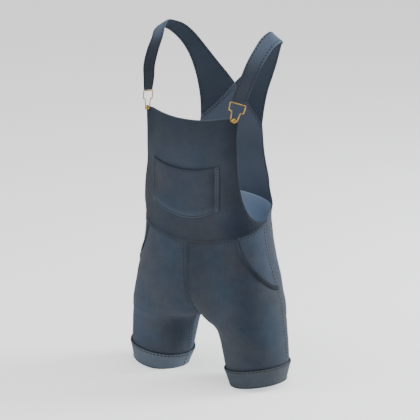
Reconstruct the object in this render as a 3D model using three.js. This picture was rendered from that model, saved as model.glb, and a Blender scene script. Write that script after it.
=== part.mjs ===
// Denim shortalls: short dungarees filled out as if worn, made of cloth panels and two wire buckles.
// Millimetres, +Z up. The front faces -Y and +X is the wearer's left.
// The origin is on the mid plane, level with the underside of the straps where they cross the shoulders.
import * as THREE from "three";

// A table with named columns, a row for each section.
function table(names, ...rows) {
  const columns = names.split(" ");
  return rows.map((row) => Object.fromEntries(columns.map((name, i) => [name, row[i]])));
}

// Cloth
const WALL = 2; // denim with its turnings
const SEAM = 0.3; // gap between two pieces that are sewn together
const LAY = 0.3; // gap under a piece that lies on another
const EDGE = SEAM / 2;

// Heights on the mid plane
const CROTCH = -706;
const FRONT_WAIST = -506;
const SIDE_TOP = -455;
const BACK_WAIST = -419;
const BACK_CORNER = -430;
const HEM = -857;
const WAIST_BEND = 2.2; // how the waist seam runs from the centre front up to the side seam

// A place round the body runs from 0 at the centre front, through 1 at the side seam,
// to 2 at the centre back, on the wearer's left half. The right half is its mirror image.
const BACK_START = 1.08; // where the back panel begins, just behind the side seam

// Horizontal rings of the left half, from the bib down to the hem.
// side and backSide: the outermost x, ahead of the middle and behind it
// crest: x of the foremost and hindmost points. inner: the innermost x of the whole ring,
// which is cut off at the mid plane above the crotch
// front and back: depths from mid, the y of the ring's centre
// round, innerRound and backRound: exponents of the superellipse, at the front outwards and inwards
// of its crest, and at the back
// tilt: rise for each millimetre outwards. seam: angle of the side seam from straight ahead, in degrees.
// fan: angle on the inner side from which the columns are spread evenly
const RINGS = table(
  "z side backSide crest inner front back mid round innerRound backRound tilt seam fan",
  [-150, 190, 163, 0, -163, 92, 108, -3, 2.3, 2.3, 2.2, 0, 90, 0],
  [-196, 187, 163, 0, -163, 96, 108, -3, 2.3, 2.3, 2.2, 0, 90, 0],
  [-240, 178, 163, 0, -163, 102, 108, -3, 2.3, 2.3, 2.2, 0, 90, 0],
  [-284, 169, 163, 0, -163, 108, 107, -3, 2.3, 2.3, 2.2, 0, 90, 0],
  [-330, 166, 164, 0, -163, 110, 105, -3, 2.3, 2.3, 2.2, 0, 90, 0],
  [-365, 166, 166, 0, -163, 110, 104, -3, 2.4, 2.4, 2.2, 0, 90, 0],
  [-412, 165, 166, 0, -163, 106, 103, -3, 2.7, 2.7, 2.2, 0, 90, 0],
  [-455, 165, 165, 0, -165, 102, 103, -3, 2.7, 2.7, 2.2, 0, 90, 0],
  [-500, 170, 170, 5, -160, 98, 104, -3, 2.5, 2.5, 2.2, 0, 90, 3],
  [-550, 179, 179, 26, -125, 100, 106, -3, 2.35, 2.35, 2.2, 0, 92, 15],
  [-602, 193, 193, 56, -80, 101, 107, -4, 2.2, 2.2, 2.15, 0, 95, 31],
  [-650, 203, 203, 76, -50, 100, 105, -4, 2.15, 2.05, 2.1, 0.02, 98, 43],
  [-690, 209, 209, 95, -20, 99, 102, -5, 2.1, 1.68, 2.05, 0.04, 101, 56],
  [-706, 210, 210, 103, 0, 97, 100, -5, 2.05, 1.48, 2, 0.06, 102, 62],
  [-708, 210, 210, 104, 13, 97, 100, -5, 2, 1.5, 2, 0.06, 102, 63],
  [-713, 211, 211, 106.5, 27, 96, 99, -5, 2, 1.56, 2, 0.07, 102, 65],
  [-724, 211, 211, 112, 41, 94, 96, -4, 2, 1.62, 2, 0.08, 103, 70],
  [-743, 213, 213, 121, 51, 90, 92, -4, 2, 1.78, 2, 0.09, 105, 79],
  [-774, 216, 216, 132, 57, 84, 86, -3, 2, 1.92, 2, 0.12, 106, 88],
  [-817, 220, 220, 142, 66, 77, 77, -3, 2, 2, 2, 0.16, 107, 90],
  [-860, 214, 214, 147, 81, 67, 67, -5, 2, 2, 2, 0.167, 108, 90],
  [-880, 214, 214, 149, 85, 65, 65, -6, 2, 2, 2, 0.167, 108, 90],
);

// Rows of the bib from the waist seam up. reach: how far round each side goes.
// side and middle: heights at the edge and on the mid plane. bend: how the row runs between them.
// level: the share of the way out at which it has risen to the height of its side.
const BIB_ROWS = table(
  "reach side middle bend level",
  [1, SIDE_TOP, FRONT_WAIST, WAIST_BEND, 1],
  [0.833, -441, -485, 2.2, 1],
  [0.74, -407, -448, 2.2, 1],
  [0.699, -364, -394, 2.2, 1],
  [0.684, -330, -347, 2.2, 1],
  [0.673, -284, -296, 2, 1],
  [0.667, -237, -247, 2.1, 0.95],
  [0.685, -192.5, -205, 2.6, 0.83],
);

// Rows of the back panel from the waist seam up to the two slanted edges that the straps are sewn to.
const BACK_ROWS = table(
  "reach side middle bend level",
  [2 - BACK_START, BACK_CORNER, BACK_WAIST, 2, 1],
  [0.76, -411, -392, 2, 1],
  [0.685, -390, -362, 2, 1],
  [0.655, -368, -330, 2, 1],
  [0.587, -333, -285, 1.9, 1],
  [0.53, -290, -225, 1.5, 1],
  [0.497, -243, -151, 1, 1],
);

// Mouth of the hip pocket, from the waist seam to the side seam.
const POCKET_MOUTH = table(
  "z place",
  [-484.3, 0.678],
  [-510, 0.703],
  [-537, 0.732],
  [-557, 0.77],
  [-574, 0.814],
  [-591, 0.87],
  [-606, 0.933],
  [-614, 1],
);

// Rows of the trousers down to the crotch.
// front and mouth: heights at the centre front and at the pocket's mouth
// side and back: heights at the side seam and at the centre back. Below the pocket, mouth and side are one.
const HIP_ROWS = table(
  "front mouth side back",
  [FRONT_WAIST, -484.3, SIDE_TOP, BACK_WAIST],
  [-524, -507, -487, -460],
  [-544, -531, -519, -498],
  [-564, -554, -549, -534],
  [-583, -575, -573, -566],
  [-600, -591, -590, -586],
  [-610, -604, -604, -601],
  [-611.5, -605.5, -605.5, -603],
  [-622, -616, -616, -616],
  [-638, -630, -630, -634],
  [-658, -646, -646, -654],
  [-677, -662, -662, -673],
  [-690, -677, -677, -687],
  [-699, -690, -690, -698],
  [-704, -700, -700, -703.5],
);
const POCKET_ROWS = 6; // of these, down from the waist seam, to the foot of the pocket
const POCKET_FOOT = -605;
// Heights of the level rows of the legs, closest where the crotch curve turns
const LEG_LEVELS = [CROTCH - 2, -711, -717, -727, -741, -758, -779, -803, -830, HEM];

// Sections of the left strap from the buckle, over the shoulder, to the point of the back panel.
// in and out: the edge next to the neck and the edge next to the arm. bow: rise of the middle above them.
const STRAP_COLUMNS = "inX inY inZ outX outY outZ bow";
const STRAP = table(
  STRAP_COLUMNS,
  [118.5, -67, -127, 154.5, -61, -136, 0],
  [125, -54, -97, 163, -50, -102, 0.5],
  [129, -34, -64, 169, -27, -68, 1],
  [134, -9, -34, 173, -3, -43, 1.5],
  [140, 9, -13, 178, 12, -29, 2],
  [146, 31, -1, 180, 32, -22, 2],
  [141, 50, -4, 176, 50, -25, 2],
  [125, 69, -14, 163, 63, -35, 2],
  [110, 87, -34, 147, 79, -57, 2],
  [93, 98, -58, 131, 91, -88, 2],
  [70, 103, -84, 117, 95, -122, 2.5],
  [45, 105, -109, 104, 94, -160, 3],
  [22, 105.5, -130, 95, 92.5, -203, 3.5],
);
const STRAP_HALF_AT_BAR = 18;
const STRAP_BOW_AT_SEAM = 4;
const STRAP_TO_BACK = [0.6, 0.9]; // along this part, its bow turns from upwards to backwards

// Bib pocket
const POCKET_REACH = 0.495;
const POCKET_LAY = 0.5;
const POCKET_TOP = { corner: -309, middle: -325 };
const POCKET_BOTTOM = { corner: -416, middle: -445 };
const POCKET_EASE = 1.6; // how far the middle of its mouth stands off

// Raised band along the hip pocket's mouth
const BAND_WIDTH = 10;
const BAND_TOP_WIDTH = 5;
const BAND_WALL = 2.2;
const BAND_LAY = 0.8;
const BAND_FROM_SEAM = 3; // its top stops this far below the waist seam

// Turned-up cuffs
const CUFF_TOP = -815;
const CUFF_BOTTOM = -861.5;
const CUFF_FLARE = 2; // how far its upper edge stands off the leg

// Buckles, as one closed loop of wire. along: outwards from its middle. down: from its bar.
const WIRE = 2.4;
const BUCKLE_BAR = new THREE.Vector3(131.5, -73, -157.5);
const BUCKLE_ALONG = new THREE.Vector3(0.93, 0.3, -0.21).normalize();
const BUCKLE_DOWN = new THREE.Vector3(-0.209, -0.28, -0.936);
const BUCKLE_OUTLINE = table(
  "along down corner",
  [19.3, 0, 3],
  [18.4, 19.6, 3],
  [11, 19.6, 3.5],
  [8.4, 38, 2],
  [7, 44.4, 4],
);

// Bib buttons. stem: distance below the bar
const STEM_DOWN = 41;
const BUTTON = { foot: 2.9, stem: 1.8, head: 5.8, footHigh: 0.6, neckHigh: 4.4, headHigh: 2.6 };

const rad = THREE.MathUtils.degToRad;
const mix = THREE.MathUtils.lerp;

// Smooth reading of every column of a table at a value of its key column.
function readTable(table, key, value) {
  const step = Math.sign(table[1][key] - table[0][key]);
  let i = 0;
  while (i < table.length - 2 && (value - table[i + 1][key]) * step > 0) i += 1;
  const before = table[Math.max(i - 1, 0)];
  const from = table[i];
  const to = table[i + 1];
  const after = table[Math.min(i + 2, table.length - 1)];
  const span = to[key] - from[key];
  const t = THREE.MathUtils.clamp((value - from[key]) / span, -0.2, 1.2);
  const row = {};
  for (const name of Object.keys(from)) {
    const slopeIn = ((to[name] - before[name]) / (to[key] - before[key])) * span;
    const slopeOut = ((after[name] - from[name]) / (after[key] - from[key])) * span;
    row[name] =
      (2 * t ** 3 - 3 * t ** 2 + 1) * from[name] +
      (t ** 3 - 2 * t ** 2 + t) * slopeIn +
      (3 * t ** 2 - 2 * t ** 3) * to[name] +
      (t ** 3 - t ** 2) * slopeOut;
  }
  return row;
}

// The same for a table whose rows are evenly spaced from 0 to 1.
function readRows(rows, v) {
  const table = rows.map((row, i) => ({ ...row, order: i / (rows.length - 1) }));
  return readTable(table, "order", v);
}

// A point of a ring, at an angle from straight ahead.
function ringPoint(ring, angle) {
  const side = Math.cos(angle) > 0 ? ring.side : ring.backSide;
  const sin = Math.sin(angle);
  const reach = sin > 0 ? side - ring.crest : ring.crest - ring.inner;
  const cos = Math.cos(angle);
  const depth = cos > 0 ? ring.front : ring.back;
  const frontRound = sin > 0 ? ring.round : ring.innerRound;
  const round = cos > 0 ? frontRound : ring.backRound;
  const radius = (Math.abs(sin / reach) ** round + Math.abs(cos / depth) ** round) ** (-1 / round);
  const x = ring.crest + radius * sin;
  return new THREE.Vector3(x, ring.mid - radius * cos, ring.z + ring.tilt * (x - ring.crest));
}

// The angle at which a ring meets the mid plane, between an angle outside it and one beyond it.
function midPlaneAngle(ring, outside, beyond) {
  for (let i = 0; i < 40; i += 1) {
    const middle = (outside + beyond) / 2;
    if (ringPoint(ring, middle).x > 0) outside = middle;
    else beyond = middle;
  }
  return outside;
}

const ringsRead = new Map();
function ringAt(z) {
  if (!ringsRead.has(z)) {
    const ring = { ...readTable(RINGS, "z", z), z };
    const whole = z <= CROTCH;
    ring.start = whole ? rad(-90) : midPlaneAngle(ring, rad(20), rad(-90));
    ring.end = whole ? rad(270) : midPlaneAngle(ring, rad(160), rad(270));
    ringsRead.set(z, ring);
  }
  return ringsRead.get(z);
}

const mirror = (point) => new THREE.Vector3(-point.x, point.y, point.z);

// A point on the outside of the body of the garment, from its place round it and its height.
function bodyPoint(place, z) {
  if (z > CROTCH && place < 0) return mirror(bodyPoint(-place, z));
  if (z > CROTCH && place > 2) return mirror(bodyPoint(4 - place, z));
  const ring = ringAt(z);
  const seam = rad(ring.seam);
  const fan = rad(ring.fan);
  const ahead = place < 1;
  const evenly = ahead ? mix(-fan, seam, place) : mix(seam, Math.PI + fan, place - 1);
  const missing = ahead ? ring.start + fan : ring.end - Math.PI - fan;
  const near = ahead ? 1 - place : place - 1; // 1 at the mid plane or the inseam
  return ringPoint(ring, evenly + missing * near ** 4);
}

// The two directions along the surface there:
// round the body for one unit of place, and up for one millimetre.
function bodySlopes(place, z) {
  const reach = 0.004;
  const rise = 0.5;
  const around = bodyPoint(place + reach, z).sub(bodyPoint(place - reach, z)).divideScalar(2 * reach);
  const up = bodyPoint(place, z + rise).sub(bodyPoint(place, z - rise)).divideScalar(2 * rise);
  return { around, up };
}

// A point of the body, moved out along the surface's normal, with that normal.
function bodySpot(place, z, out = 0) {
  const { around, up } = bodySlopes(place, z);
  const normal = around.cross(up).normalize();
  return { point: bodyPoint(place, z).addScaledVector(normal, out), normal };
}

// A distance round the body in millimetres, as a change of place.
const asPlace = (place, z, distance) => distance / bodySlopes(place, z).around.length();

// A piece of cloth with a grid of outer points. spot(u, v) gives a point and its outward normal,
// u runs to the wearer's left and v up on the front. A closed piece joins its last column to its first.
function cloth(columns, rows, wall, spot, closed = false) {
  const across = closed ? columns : columns + 1;
  const positions = [];
  const put = (point) => {
    positions.push(point.x, point.y, point.z);
    return positions.length / 3 - 1;
  };
  const outer = [];
  const inner = [];
  for (let j = 0; j <= rows; j += 1) {
    for (let i = 0; i < across; i += 1) {
      const { point, normal } = spot(i / columns, j / rows);
      outer.push(put(point));
      inner.push(put(point.clone().addScaledVector(normal, -wall)));
    }
  }
  const faces = [];
  const quad = (a, b, c, d) => faces.push(a, b, c, a, c, d);
  const at = (side, i, j) => side[j * across + (i % across)];
  for (let j = 0; j < rows; j += 1) {
    for (let i = 0; i < columns; i += 1) {
      quad(at(outer, i, j), at(outer, i + 1, j), at(outer, i + 1, j + 1), at(outer, i, j + 1));
      quad(at(inner, i, j), at(inner, i, j + 1), at(inner, i + 1, j + 1), at(inner, i + 1, j));
    }
  }
  for (let i = 0; i < columns; i += 1) {
    quad(at(inner, i, 0), at(inner, i + 1, 0), at(outer, i + 1, 0), at(outer, i, 0));
    quad(at(outer, i, rows), at(outer, i + 1, rows), at(inner, i + 1, rows), at(inner, i, rows));
  }
  for (let j = 0; j < rows && !closed; j += 1) {
    quad(at(inner, 0, j), at(outer, 0, j), at(outer, 0, j + 1), at(inner, 0, j + 1));
    quad(at(outer, columns, j), at(inner, columns, j), at(inner, columns, j + 1), at(outer, columns, j + 1));
  }
  return solid(positions, faces);
}

function solid(positions, faces) {
  const geometry = new THREE.BufferGeometry();
  geometry.setAttribute("position", new THREE.Float32BufferAttribute(positions, 3));
  geometry.setIndex(faces);
  geometry.computeVertexNormals();
  return geometry;
}

// The same piece on the wearer's right.
function mirrored(geometry) {
  const copy = geometry.clone().scale(-1, 1, 1);
  const order = Array.from(copy.index.array);
  for (let i = 0; i < order.length; i += 3) [order[i + 1], order[i + 2]] = [order[i + 2], order[i + 1]];
  copy.setIndex(order);
  copy.computeVertexNormals();
  return copy;
}

// Height of the waist seam
function waistHeight(place) {
  if (place <= 1) return mix(FRONT_WAIST, SIDE_TOP, Math.abs(place) ** WAIST_BEND);
  const toCorner = (BACK_START - place) / (BACK_START - 1);
  if (toCorner > 0) return mix(BACK_CORNER, SIDE_TOP, toCorner ** 1.5);
  return mix(BACK_WAIST, BACK_CORNER, ((2 - place) / (2 - BACK_START)) ** 2);
}

// Height along a row that bends between its middle and its sides
const rowHeight = (row, t) => mix(row.middle, row.side, Math.min(Math.abs(t) / row.level, 1) ** row.bend);

function bib() {
  return cloth(22, 14, WALL, (u, v) => {
    const row = readRows(BIB_ROWS, v);
    const t = 2 * u - 1;
    const z = rowHeight(row, t) + EDGE;
    const place = row.reach * t;
    return bodySpot(place - Math.sign(t) * asPlace(place, z, EDGE) * Math.abs(t), z);
  });
}

function bibPocket() {
  return cloth(16, 7, WALL, (u, v) => {
    const t = 2 * u - 1;
    const top = mix(POCKET_TOP.middle, POCKET_TOP.corner, t * t);
    const bottom = mix(POCKET_BOTTOM.middle, POCKET_BOTTOM.corner, t * t);
    const ease = POCKET_EASE * (1 - t * t) * v * v;
    return bodySpot(POCKET_REACH * t, mix(bottom, top, v), POCKET_LAY + WALL + ease);
  });
}

// A spot of the back panel: t runs from -1 on the wearer's right to 1 on the left.
function backSpot(t, v, rise = EDGE) {
  const row = readRows(BACK_ROWS, v);
  return bodySpot(2 - row.reach * t, rowHeight(row, t) + rise);
}

function backPanel() {
  return cloth(12, 12, WALL, (u, v) => backSpot(1 - 2 * u, v, EDGE * (1 - 2 * v)));
}

function frontLeg() {
  const rows = HIP_ROWS.length + LEG_LEVELS.length - 1;
  return cloth(10, rows, WALL, (u, v) => {
    const j = Math.round((1 - v) * rows);
    const hip = HIP_ROWS[j];
    const level = LEG_LEVELS[j - HIP_ROWS.length];
    const edge = hip && hip.mouth > POCKET_FOOT ? mouthPlace(hip.mouth) : 1;
    const place = edge * u;
    let z = hip ? mix(hip.front, hip.mouth, u ** WAIST_BEND) : level;
    if (j === 0) z = waistHeight(place) - EDGE;
    return bodySpot(place + asPlace(place, z, EDGE) * (1 - 2 * u), z);
  });
}

const mouthPlace = (z) => Math.min(readTable(POCKET_MOUTH, "z", z).place, 1.02);

function hipFacing() {
  const rows = POCKET_ROWS;
  return cloth(5, rows, WALL, (u, v) => {
    const j = Math.round((1 - v) * rows);
    const hip = HIP_ROWS[j];
    const place = mix(mouthPlace(hip.mouth), 1, u);
    const z = j === 0 ? waistHeight(place) - EDGE : mix(hip.mouth, hip.side, u);
    return bodySpot(place + asPlace(place, z, EDGE) * (1 - 2 * u), z);
  });
}

function backLeg() {
  const rows = HIP_ROWS.length + LEG_LEVELS.length - 1;
  return cloth(11, rows, WALL, (u, v) => {
    const j = Math.round((1 - v) * rows);
    const hip = HIP_ROWS[j];
    const place = 1 + u ** 1.2;
    let z = hip ? mix(hip.side, hip.back, u) : LEG_LEVELS[j - HIP_ROWS.length];
    if (j === 0) z = waistHeight(place) - EDGE;
    return bodySpot(place + asPlace(place, z, EDGE) * (1 - 2 * u), z);
  });
}

// The band follows the pocket's mouth and lies on the front, on the side away from the pocket.
function hipBand() {
  const top = POCKET_MOUTH[0].z - BAND_FROM_SEAM;
  const bottom = POCKET_MOUTH.at(-1).z;
  return cloth(2, 18, BAND_WALL, (u, v) => {
    const z = mix(bottom, top, v ** 1.3);
    const place = mouthPlace(z);
    const { around, up } = bodySlopes(place, z);
    const sideways = (mouthPlace(z + 1) - mouthPlace(z - 1)) * around.length();
    const mouth = new THREE.Vector2(sideways, 2 * up.length()).normalize();
    const away = mix(BAND_WIDTH, BAND_TOP_WIDTH, v ** 2) * (1 - u);
    return bodySpot(place - (mouth.y * away) / around.length(), z + mouth.x * away, BAND_LAY + BAND_WALL);
  });
}

function cuff() {
  return cloth(32, 3, WALL, (u, v) => {
    const z = mix(CUFF_BOTTOM, CUFF_TOP, v);
    return bodySpot(2 * u, z, LAY + WALL + CUFF_FLARE * Math.sqrt(v));
  }, true);
}

// The strap's outer face. u runs from the neck edge to the arm edge, v from the buckle to the back.
function strap() {
  const above = BUCKLE_BAR.clone().addScaledVector(BUCKLE_DOWN, -(WIRE / 2 + LAY));
  const barEnd = (side) => above.clone().addScaledVector(BUCKLE_ALONG, side * STRAP_HALF_AT_BAR);
  const seam = (u) => backSpot(u, 1);
  const [first] = table(STRAP_COLUMNS, [...barEnd(-1), ...barEnd(1), 0]);
  const [last] = table(STRAP_COLUMNS, [...seam(0).point, ...seam(1).point, STRAP_BOW_AT_SEAM]);
  const sections = [first, ...STRAP, last];
  const face = (u, v) => {
    if (v === 1) return seam(u).point;
    const row = readRows(sections, v);
    const inner = new THREE.Vector3(row.inX, row.inY, row.inZ);
    const outer = new THREE.Vector3(row.outX, row.outY, row.outZ);
    const bow = row.bow * 4 * u * (1 - u);
    const behind = THREE.MathUtils.smoothstep(v, ...STRAP_TO_BACK);
    return inner.lerp(outer, u).add(new THREE.Vector3(0, bow * behind, bow * (1 - behind)));
  };
  return cloth(6, 30, WALL, (u, v) => {
    const across = face(u + 0.01, v).sub(face(u - 0.01, v));
    const along = face(u, Math.min(v + 0.004, 1)).sub(face(u, Math.max(v - 0.004, 0)));
    const normal = v === 1 ? seam(u).normal : across.cross(along).normalize();
    const beyondBar = THREE.MathUtils.smoothstep(v, 0, 0.1);
    const point = face(u, v).addScaledVector(normal, (WALL / 2) * (1 - beyondBar));
    point.x = Math.max(point.x, SEAM);
    return { point, normal };
  });
}

// A closed loop of wire through points with rounded corners.
function wireLoop(points, corners, toWorld) {
  const path = new THREE.CurvePath();
  const count = points.length;
  const toward = (from, to, distance) => from.clone().add(to.clone().sub(from).setLength(distance));
  for (let i = 0; i < count; i += 1) {
    const [before, corner, after] = [points[(i + count - 1) % count], points[i], points[(i + 1) % count]];
    const start = toward(corner, before, corners[i]);
    const end = toward(corner, after, corners[i]);
    path.add(new THREE.QuadraticBezierCurve(start, corner, end));
    path.add(new THREE.LineCurve(end, toward(after, corner, corners[(i + 1) % count])));
  }
  const stops = (curve) => (curve.isLineCurve ? [0] : [0, 1 / 3, 2 / 3]);
  const steps = path.curves.flatMap((curve) => stops(curve).map((t) => [curve, t]));
  const sides = 6;
  const positions = [];
  const faces = [];
  steps.forEach(([curve, t], k) => {
    const point = curve.getPoint(t);
    const tangent = curve.getTangent(t);
    for (let s = 0; s < sides; s += 1) {
      const turn = (s / sides) * 2 * Math.PI;
      const off = (WIRE / 2) * Math.cos(turn);
      const out = (WIRE / 2) * Math.sin(turn);
      const place = toWorld(point.x - tangent.y * off, point.y + tangent.x * off, out);
      positions.push(place.x, place.y, place.z);
      const next = ((k + 1) % steps.length) * sides;
      const beside = (s + 1) % sides;
      faces.push(k * sides + s, next + beside, k * sides + beside, k * sides + s, next + s, next + beside);
    }
  });
  return solid(positions, faces);
}

// A place on the buckle's plane, from its distances along the bar, down from it and out from the cloth.
function buckleSpot(along, down, out) {
  const downward = BUCKLE_DOWN.clone().projectOnPlane(BUCKLE_ALONG).normalize();
  const outward = downward.clone().cross(BUCKLE_ALONG);
  const spot = BUCKLE_BAR.clone().addScaledVector(BUCKLE_ALONG, along);
  return spot.addScaledVector(downward, down).addScaledVector(outward, out);
}

function buckle() {
  const half = BUCKLE_OUTLINE;
  const other = [...half].reverse().map((row) => ({ ...row, along: -row.along }));
  const whole = [...half, ...other];
  const points = whole.map((row) => new THREE.Vector2(row.along, row.down));
  return wireLoop(points, whole.map((row) => row.corner), buckleSpot);
}

// A button stands on the bib at its stem's place, with the wire's lower end between its foot and its head.
function bibButton() {
  const { foot, stem, head, footHigh, neckHigh, headHigh } = BUTTON;
  const profile = [
    [0, 0],
    [foot, 0],
    [foot, footHigh],
    [stem, footHigh + 0.3],
    [stem, footHigh + neckHigh],
    [head, footHigh + neckHigh + 0.3],
    [head, footHigh + neckHigh + headHigh * 0.5],
    [head * 0.75, footHigh + neckHigh + headHigh * 0.9],
    [0, footHigh + neckHigh + headHigh],
  ].map(([x, y]) => new THREE.Vector2(x, y));
  const { point, normal } = buttonSeat();
  const turn = new THREE.Quaternion().setFromUnitVectors(new THREE.Vector3(0, 1, 0), normal);
  return new THREE.LatheGeometry(profile, 14).applyQuaternion(turn).translate(point.x, point.y, point.z);
}

// The spot of the bib that lies behind the stem, and the button's foot on it.
function buttonSeat() {
  const stem = buckleSpot(0, STEM_DOWN, 0);
  let place = 0.6;
  for (let i = 0; i < 30; i += 1) place += (stem.x - bodyPoint(place, stem.z).x) * 0.004;
  return bodySpot(place, stem.z, LAY);
}

// Materials
const denim = new THREE.MeshStandardMaterial({ color: 0x45566b, roughness: 0.9, metalness: 0 });
const denimSide = new THREE.MeshStandardMaterial({ color: 0x4f6177, roughness: 0.9, metalness: 0 });
const denimDark = new THREE.MeshStandardMaterial({ color: 0x333f4c, roughness: 0.9, metalness: 0 });
const denimCuff = new THREE.MeshStandardMaterial({ color: 0x5f6b78, roughness: 0.9, metalness: 0 });
const brass = new THREE.MeshStandardMaterial({ color: 0xb0935a, roughness: 0.35, metalness: 1 });

const shortalls = new THREE.Group();

function add(name, geometry, material) {
  const mesh = new THREE.Mesh(geometry, material);
  mesh.name = name;
  shortalls.add(mesh);
}

function addPair(name, geometry, material) {
  add(`${name}_left`, geometry, material);
  add(`${name}_right`, mirrored(geometry), material);
}

add("bib", bib(), denim);
add("bib_pocket", bibPocket(), denim);
add("back_panel", backPanel(), denim);
addPair("front_leg", frontLeg(), denim);
addPair("back_leg", backLeg(), denim);
addPair("hip_facing", hipFacing(), denimSide);
addPair("hip_band", hipBand(), denimDark);
addPair("cuff", cuff(), denimCuff);
addPair("strap", strap(), denim);
addPair("buckle", buckle(), brass);
addPair("bib_button", bibButton(), brass);

export default shortalls;
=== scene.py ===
# %% [markdown]
# Denim shortalls, filled out as if somebody wore them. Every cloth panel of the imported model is
# made again with a finer mesh, with hems, sewn seams, folds and stitches, and takes the place of
# its plain panel. The frame comes first, because each piece has to lie where its plain one does.

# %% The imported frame
import math

import bpy
import numpy as np
from mathutils import Matrix, Vector


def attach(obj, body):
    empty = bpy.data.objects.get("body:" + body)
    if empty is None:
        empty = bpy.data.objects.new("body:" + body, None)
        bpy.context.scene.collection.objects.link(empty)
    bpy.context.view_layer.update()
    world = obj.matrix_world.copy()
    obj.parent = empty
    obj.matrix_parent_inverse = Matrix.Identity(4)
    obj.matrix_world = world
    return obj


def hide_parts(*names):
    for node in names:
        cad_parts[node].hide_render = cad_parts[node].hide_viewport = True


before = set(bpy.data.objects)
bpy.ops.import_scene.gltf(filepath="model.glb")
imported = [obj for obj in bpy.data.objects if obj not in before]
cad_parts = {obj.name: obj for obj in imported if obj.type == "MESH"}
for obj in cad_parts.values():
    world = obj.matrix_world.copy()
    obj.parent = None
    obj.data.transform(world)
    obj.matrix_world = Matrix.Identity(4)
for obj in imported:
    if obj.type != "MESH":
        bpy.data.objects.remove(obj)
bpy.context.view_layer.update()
print("frame:", len(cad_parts), "nodes")

# %% [markdown]
# All lengths below are in millimetres, as a pattern cutter writes them, and become metres only
# when a mesh is made. A garment is easiest to describe by tables of sections, as a tailor notes
# sizes at the waist, hip and hem. A spline curve for each size could hold them too, but a table
# with named columns is shorter to read, so a small reader gives smooth values between its rows.

# %% Tables with named columns
MM = 0.001
READ_PAST = 0.2  # how far beyond its end rows a table may be read, as a share of a step


def table(names, *rows):
    return dict(zip(names.split(), np.array(rows, float).T))


def mix(a, b, t):
    return a + (b - a) * t


def smooth_step(x, start, end):
    t = np.clip((x - start) / (end - start), 0, 1)
    return t * t * (3 - 2 * t)


def read_table(columns, key, value):
    """Every column of a table, smoothly between its rows, at values of its key column."""
    keys = columns[key]
    way = np.sign(keys[1] - keys[0])
    last = len(keys) - 1
    i = np.clip(np.searchsorted(keys * way, value * way) - 1, 0, last - 1)
    before, after = np.maximum(i - 1, 0), np.minimum(i + 2, last)
    span = keys[i + 1] - keys[i]
    t = np.clip((value - keys[i]) / span, -READ_PAST, 1 + READ_PAST)
    row = {}
    for name, column in columns.items():
        slope_in = (column[i + 1] - column[before]) / (keys[i + 1] - keys[before]) * span
        slope_out = (column[after] - column[i]) / (keys[after] - keys[i]) * span
        row[name] = (
            (2 * t**3 - 3 * t**2 + 1) * column[i]
            + (t**3 - 2 * t**2 + t) * slope_in
            + (3 * t**2 - 2 * t**3) * column[i + 1]
            + (t**3 - t**2) * slope_out
        )
    return row


def read_rows(columns, share):
    """The same for a table whose rows are evenly spaced from 0 to 1."""
    count = len(next(iter(columns.values())))
    return read_table({**columns, "order": np.linspace(0, 1, count)}, "order", share)


# %% [markdown]
# The body that fills the garment is a stack of rings, half of each on the wearer's left. Above
# the crotch a ring is cut off at the mid plane, and below it is a whole ring round one leg. These
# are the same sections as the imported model's, so every new panel lies where its plain one was.
# Cloth could be dropped over a sculpted figure, but rings with named sizes stay hollow and even.

# %% Heights and sections of the body
CROTCH = -706
FRONT_WAIST = -506
SIDE_TOP = -455
BACK_WAIST = -419
BACK_CORNER = -430
HEM = -857
WAIST_BEND = 2.2  # how late the waist seam climbs to the side
BACK_START = 1.08  # the place round the body of the back panel's lower corner
WALL = 2.0
EDGE = -0.1  # sewn edges overlap a hair, so that no light shows through a seam

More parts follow.
